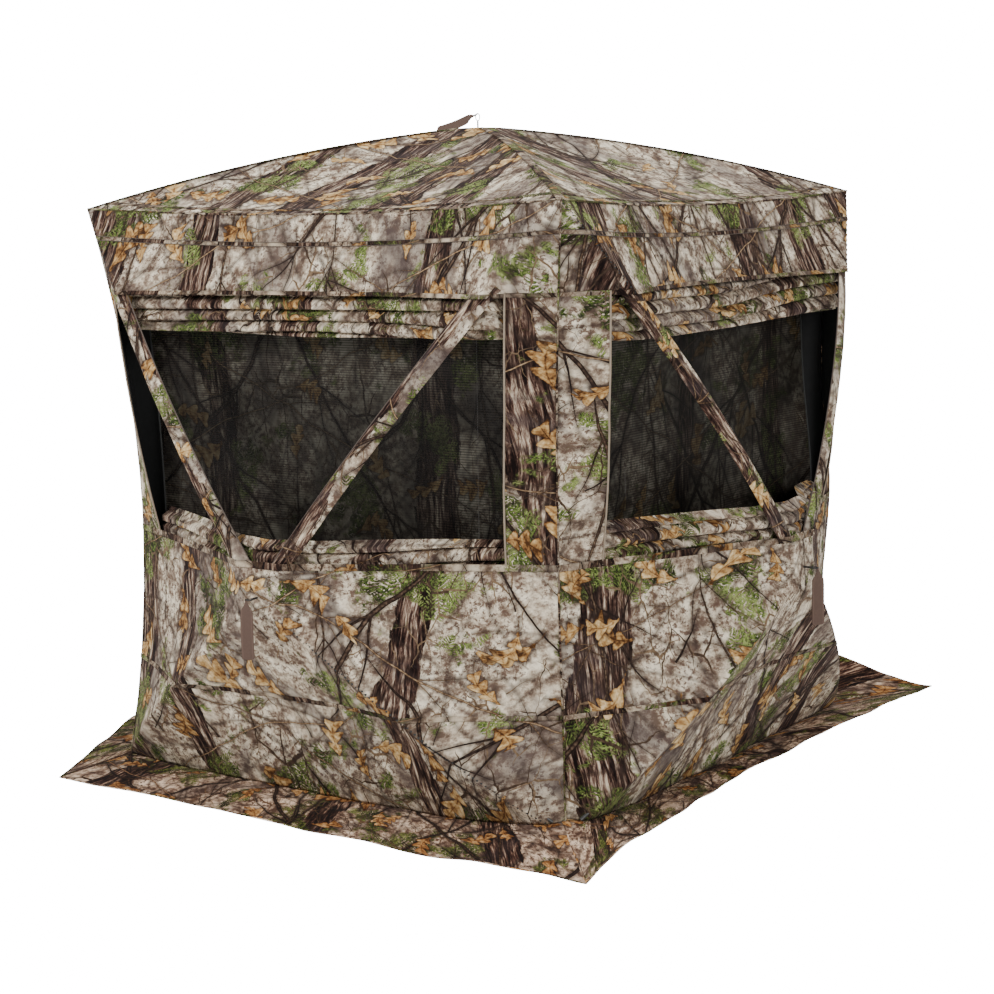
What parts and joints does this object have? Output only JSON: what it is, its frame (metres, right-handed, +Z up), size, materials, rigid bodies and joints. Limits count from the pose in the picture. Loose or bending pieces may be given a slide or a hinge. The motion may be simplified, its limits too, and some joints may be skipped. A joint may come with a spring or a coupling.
{
  "type": "pop-up ground blind",
  "caption": "Square pop-up cabin of printed fabric on spring hubs and rods, with wide mesh windows, rolled curtains, a zipped door and a ground skirt.",
  "frame": {"origin": "centre of the footprint on the ground", "axes": "+Z up, the front wall towards -Y, the right wall towards +X, the back wall with the door towards +Y"},
  "size_m": [2.4622, 2.4622, 2.0851],
  "materials": {
    "camo_fabric": "printed woven polyester, matt",
    "skirt_fabric": "printed woven polyester, matt",
    "window_mesh": "fine see-through mesh",
    "hub_plastic": "moulded, matt",
    "steel": "zinc plated",
    "webbing": "ribbed webbing",
    "fibreglass": "solid rod",
    "zipper_tape": "woven tape",
    "zipper_metal": "black coated"
  },
  "bodies": {
    "root": {"roof_canopy": "camo_fabric", "front_wall": "camo_fabric", "right_wall": "camo_fabric", "back_wall": "camo_fabric", "left_wall": "camo_fabric", "ground_skirt": "skirt_fabric", "stake_tabs": "webbing", "front_window_mesh": "window_mesh", "right_window_mesh": "window_mesh", "left_window_mesh": "window_mesh"},
    "front_hub": {"front_hub_core": "hub_plastic", "front_hub_pins": "steel", "front_ring_bolt": "steel"},
    "front_pole_upper_right": {"front_pole_upper_right": "fibreglass"},
    "front_pole_upper_left": {"front_pole_upper_left": "fibreglass"},
    "front_pole_lower_left": {"front_pole_lower_left": "fibreglass"},
    "front_pole_lower_right": {"front_pole_lower_right": "fibreglass"},
    "front_strap": {"front_pull_strap": "webbing"},
    "right_hub": {"right_hub_core": "hub_plastic", "right_hub_pins": "steel", "right_ring_bolt": "steel"},
    "right_pole_upper_right": {"right_pole_upper_right": "fibreglass"},
    "right_pole_upper_left": {"right_pole_upper_left": "fibreglass"},
    "right_pole_lower_left": {"right_pole_lower_left": "fibreglass"},
    "right_pole_lower_right": {"right_pole_lower_right": "fibreglass"},
    "right_strap": {"right_pull_strap": "webbing"},
    "back_hub": {"back_hub_core": "hub_plastic", "back_hub_pins": "steel", "back_ring_bolt": "steel"},
    "back_pole_upper_right": {"back_pole_upper_right": "fibreglass"},
    "back_pole_upper_left": {"back_pole_upper_left": "fibreglass"},
    "back_pole_lower_left": {"back_pole_lower_left": "fibreglass"},
    "back_pole_lower_right": {"back_pole_lower_right": "fibreglass"},
    "back_strap": {"back_pull_strap": "webbing"},
    "left_hub": {"left_hub_core": "hub_plastic", "left_hub_pins": "steel", "left_ring_bolt": "steel"},
    "left_pole_upper_right": {"left_pole_upper_right": "fibreglass"},
    "left_pole_upper_left": {"left_pole_upper_left": "fibreglass"},
    "left_pole_lower_left": {"left_pole_lower_left": "fibreglass"},
    "left_pole_lower_right": {"left_pole_lower_right": "fibreglass"},
    "left_strap": {"left_pull_strap": "webbing"},
    "roof_hub": {"roof_hub_core": "hub_plastic", "roof_hub_pins": "steel", "roof_ring_bolt": "steel"},
    "roof_pole_left_front": {"roof_pole_left_front": "fibreglass"},
    "roof_pole_right_front": {"roof_pole_right_front": "fibreglass"},
    "roof_pole_right_back": {"roof_pole_right_back": "fibreglass"},
    "roof_pole_left_back": {"roof_pole_left_back": "fibreglass"},
    "roof_strap": {"roof_pull_strap": "webbing"},
    "front_upper_curtain": {"front_upper_curtain": "camo_fabric"},
    "front_lower_curtain": {"front_lower_curtain": "camo_fabric"},
    "right_upper_curtain": {"right_upper_curtain": "camo_fabric"},
    "right_lower_curtain": {"right_lower_curtain": "camo_fabric"},
    "left_upper_curtain": {"left_upper_curtain": "camo_fabric"},
    "left_lower_curtain": {"left_lower_curtain": "camo_fabric"},
    "door_seam": {"door_seam": "zipper_tape"},
    "door": {"door_panel": "camo_fabric"},
    "zipper_slider": {"zipper_slider": "zipper_metal"}
  },
  "joints": [
    {"name": "front_hub_pop", "type": "slide", "parent": "root", "child": "front_hub", "axis": [0, -1, 0], "range_m": [-0.29, 0], "deforming": ["front_wall"]},
    {"name": "front_pole_upper_right_fold", "type": "hinge", "parent": "front_hub", "child": "front_pole_upper_right", "pos_m": [0.02614, -1.156, 0.70088], "axis": [-0.7828, 0, 0.6223], "range_deg": [-13.2, 1]},
    {"name": "front_pole_upper_left_fold", "type": "hinge", "parent": "front_hub", "child": "front_pole_upper_left", "pos_m": [-0.02614, -1.156, 0.70088], "axis": [-0.7828, 0, -0.6223], "range_deg": [-13.2, 1]},
    {"name": "front_pole_lower_left_fold", "type": "hinge", "parent": "front_hub", "child": "front_pole_lower_left", "pos_m": [-0.03328, -1.156, 0.64238], "axis": [0.6101, 0, -0.7924], "range_deg": [-17.4, 1]},
    {"name": "front_pole_lower_right_fold", "type": "hinge", "parent": "front_hub", "child": "front_pole_lower_right", "pos_m": [0.03328, -1.156, 0.64238], "axis": [0.6101, 0, 0.7924], "range_deg": [-17.4, 1]},
    {"name": "front_strap_swing", "type": "hinge", "parent": "front_hub", "child": "front_strap", "pos_m": [0, -1.2251, 0.668], "axis": [-1, 0, 0], "range_deg": [-25, 110]},
    {"name": "right_hub_pop", "type": "slide", "parent": "root", "child": "right_hub", "axis": [1, 0, 0], "range_m": [-0.29, 0], "deforming": ["right_wall"]},
    {"name": "right_pole_upper_right_fold", "type": "hinge", "parent": "right_hub", "child": "right_pole_upper_right", "pos_m": [1.156, 0.02614, 0.70088], "axis": [0, -0.7828, 0.6223], "range_deg": [-13.2, 1]},
    {"name": "right_pole_upper_left_fold", "type": "hinge", "parent": "right_hub", "child": "right_pole_upper_left", "pos_m": [1.156, -0.02614, 0.70088], "axis": [0, -0.7828, -0.6223], "range_deg": [-13.2, 1]},
    {"name": "right_pole_lower_left_fold", "type": "hinge", "parent": "right_hub", "child": "right_pole_lower_left", "pos_m": [1.156, -0.03328, 0.64238], "axis": [0, 0.6101, -0.7924], "range_deg": [-17.4, 1]},
    {"name": "right_pole_lower_right_fold", "type": "hinge", "parent": "right_hub", "child": "right_pole_lower_right", "pos_m": [1.156, 0.03328, 0.64238], "axis": [0, 0.6101, 0.7924], "range_deg": [-17.4, 1]},
    {"name": "right_strap_swing", "type": "hinge", "parent": "right_hub", "child": "right_strap", "pos_m": [1.2251, 0, 0.668], "axis": [0, -1, 0], "range_deg": [-25, 110]},
    {"name": "back_hub_pop", "type": "slide", "parent": "root", "child": "back_hub", "axis": [0, 1, 0], "range_m": [-0.29, 0], "deforming": ["back_wall"]},
    {"name": "back_pole_upper_right_fold", "type": "hinge", "parent": "back_hub", "child": "back_pole_upper_right", "pos_m": [-0.02614, 1.156, 0.70088], "axis": [0.7828, 0, 0.6223], "range_deg": [-13.2, 1]},
    {"name": "back_pole_upper_left_fold", "type": "hinge", "parent": "back_hub", "child": "back_pole_upper_left", "pos_m": [0.02614, 1.156, 0.70088], "axis": [0.7828, 0, -0.6223], "range_deg": [-13.2, 1]},
    {"name": "back_pole_lower_left_fold", "type": "hinge", "parent": "back_hub", "child": "back_pole_lower_left", "pos_m": [0.03328, 1.156, 0.64238], "axis": [-0.6101, 0, -0.7924], "range_deg": [-17.4, 1]},
    {"name": "back_pole_lower_right_fold", "type": "hinge", "parent": "back_hub", "child": "back_pole_lower_right", "pos_m": [-0.03328, 1.156, 0.64238], "axis": [-0.6101, 0, 0.7924], "range_deg": [-17.4, 1]},
    {"name": "back_strap_swing", "type": "hinge", "parent": "back_hub", "child": "back_strap", "pos_m": [0, 1.2251, 0.668], "axis": [1, 0, 0], "range_deg": [-25, 110]},
    {"name": "left_hub_pop", "type": "slide", "parent": "root", "child": "left_hub", "axis": [-1, 0, 0], "range_m": [-0.29, 0], "deforming": ["left_wall"]},
    {"name": "left_pole_upper_right_fold", "type": "hinge", "parent": "left_hub", "child": "left_pole_upper_right", "pos_m": [-1.156, -0.02614, 0.70088], "axis": [0, 0.7828, 0.6223], "range_deg": [-13.2, 1]},
    {"name": "left_pole_upper_left_fold", "type": "hinge", "parent": "left_hub", "child": "left_pole_upper_left", "pos_m": [-1.156, 0.02614, 0.70088], "axis": [0, 0.7828, -0.6223], "range_deg": [-13.2, 1]},
    {"name": "left_pole_lower_left_fold", "type": "hinge", "parent": "left_hub", "child": "left_pole_lower_left", "pos_m": [-1.156, 0.03328, 0.64238], "axis": [0, -0.6101, -0.7924], "range_deg": [-17.4, 1]},
    {"name": "left_pole_lower_right_fold", "type": "hinge", "parent": "left_hub", "child": "left_pole_lower_right", "pos_m": [-1.156, -0.03328, 0.64238], "axis": [0, -0.6101, 0.7924], "range_deg": [-17.4, 1]},
    {"name": "left_strap_swing", "type": "hinge", "parent": "left_hub", "child": "left_strap", "pos_m": [-1.2251, 0, 0.668], "axis": [0, 1, 0], "range_deg": [-25, 110]},
    {"name": "roof_hub_pop", "type": "slide", "parent": "root", "child": "roof_hub", "axis": [0, 0, 1], "range_m": [-0.235, 0], "deforming": ["roof_canopy"]},
    {"name": "roof_pole_left_front_fold", "type": "hinge", "parent": "roof_hub", "child": "roof_pole_left_front", "pos_m": [-0.0297, -0.0297, 2.01], "axis": [0.7071, -0.7071, 0], "range_deg": [-12.4, 1]},
    {"name": "roof_pole_right_front_fold", "type": "hinge", "parent": "roof_hub", "child": "roof_pole_right_front", "pos_m": [0.0297, -0.0297, 2.01], "axis": [0.7071, 0.7071, 0], "range_deg": [-12.4, 1]},
    {"name": "roof_pole_right_back_fold", "type": "hinge", "parent": "roof_hub", "child": "roof_pole_right_back", "pos_m": [0.0297, 0.0297, 2.01], "axis": [-0.7071, 0.7071, 0], "range_deg": [-12.4, 1]},
    {"name": "roof_pole_left_back_fold", "type": "hinge", "parent": "roof_hub", "child": "roof_pole_left_back", "pos_m": [-0.0297, 0.0297, 2.01], "axis": [-0.7071, -0.7071, 0], "range_deg": [-12.4, 1]},
    {"name": "roof_strap_swing", "type": "hinge", "parent": "roof_hub", "child": "roof_strap", "pos_m": [0, 0, 2.0791], "axis": [0, 1, 0], "range_deg": [0, 150]},
    {"name": "front_upper_curtain_slide", "type": "slide", "parent": "root", "child": "front_upper_curtain", "axis": [0, 0, -1], "range_m": [0, 0.2]},
    {"name": "front_lower_curtain_slide", "type": "slide", "parent": "root", "child": "front_lower_curtain", "axis": [0, 0, 1], "range_m": [0, 0.2]},
    {"name": "right_upper_curtain_slide", "type": "slide", "parent": "root", "child": "right_upper_curtain", "axis": [0, 0, -1], "range_m": [0, 0.2]},
    {"name": "right_lower_curtain_slide", "type": "slide", "parent": "root", "child": "right_lower_curtain", "axis": [0, 0, 1], "range_m": [0, 0.2]},
    {"name": "left_upper_curtain_slide", "type": "slide", "parent": "root", "child": "left_upper_curtain", "axis": [0, 0, -1], "range_m": [0, 0.2]},
    {"name": "left_lower_curtain_slide", "type": "slide", "parent": "root", "child": "left_lower_curtain", "axis": [0, 0, 1], "range_m": [0, 0.2]},
    {"name": "door_seam_flex", "type": "hinge", "parent": "root", "child": "door_seam", "pos_m": [-0.7, 0.93776, 0.20098], "axis": [0, 0.0192, 0.9998], "range_deg": [-27.4, 1]},
    {"name": "door_swing", "type": "hinge", "parent": "door_seam", "child": "door", "pos_m": [-0.7, 0.93776, 0.20098], "axis": [0, 0.0192, 0.9998], "range_deg": [0, 100]},
    {"name": "zipper_slide", "type": "slide", "parent": "door_seam", "child": "zipper_slider", "axis": [-0.7624, -0.2726, -0.587], "range_m": [0, 0.62]}
  ],
  "couplings": [
    {"joint": "front_pole_upper_right_fold", "follows": "front_hub_pop", "rad_per_m": 0.7358},
    {"joint": "front_pole_upper_left_fold", "follows": "front_hub_pop", "rad_per_m": 0.7358},
    {"joint": "front_pole_lower_left_fold", "follows": "front_hub_pop", "rad_per_m": 0.9849},
    {"joint": "front_pole_lower_right_fold", "follows": "front_hub_pop", "rad_per_m": 0.9849},
    {"joint": "right_pole_upper_right_fold", "follows": "right_hub_pop", "rad_per_m": 0.7358},
    {"joint": "right_pole_upper_left_fold", "follows": "right_hub_pop", "rad_per_m": 0.7358},
    {"joint": "right_pole_lower_left_fold", "follows": "right_hub_pop", "rad_per_m": 0.9849},
    {"joint": "right_pole_lower_right_fold", "follows": "right_hub_pop", "rad_per_m": 0.9849},
    {"joint": "back_pole_upper_right_fold", "follows": "back_hub_pop", "rad_per_m": 0.7358},
    {"joint": "back_pole_upper_left_fold", "follows": "back_hub_pop", "rad_per_m": 0.7358},
    {"joint": "back_pole_lower_left_fold", "follows": "back_hub_pop", "rad_per_m": 0.9849},
    {"joint": "back_pole_lower_right_fold", "follows": "back_hub_pop", "rad_per_m": 0.9849},
    {"joint": "left_pole_upper_right_fold", "follows": "left_hub_pop", "rad_per_m": 0.7358},
    {"joint": "left_pole_upper_left_fold", "follows": "left_hub_pop", "rad_per_m": 0.7358},
    {"joint": "left_pole_lower_left_fold", "follows": "left_hub_pop", "rad_per_m": 0.9849},
    {"joint": "left_pole_lower_right_fold", "follows": "left_hub_pop", "rad_per_m": 0.9849},
    {"joint": "roof_pole_left_front_fold", "follows": "roof_hub_pop", "rad_per_m": 0.8459},
    {"joint": "roof_pole_right_front_fold", "follows": "roof_hub_pop", "rad_per_m": 0.8459},
    {"joint": "roof_pole_right_back_fold", "follows": "roof_hub_pop", "rad_per_m": 0.8459},
    {"joint": "roof_pole_left_back_fold", "follows": "roof_hub_pop", "rad_per_m": 0.8459},
    {"joint": "door_seam_flex", "follows": "back_hub_pop", "rad_per_m": 1.5892}
  ]
}
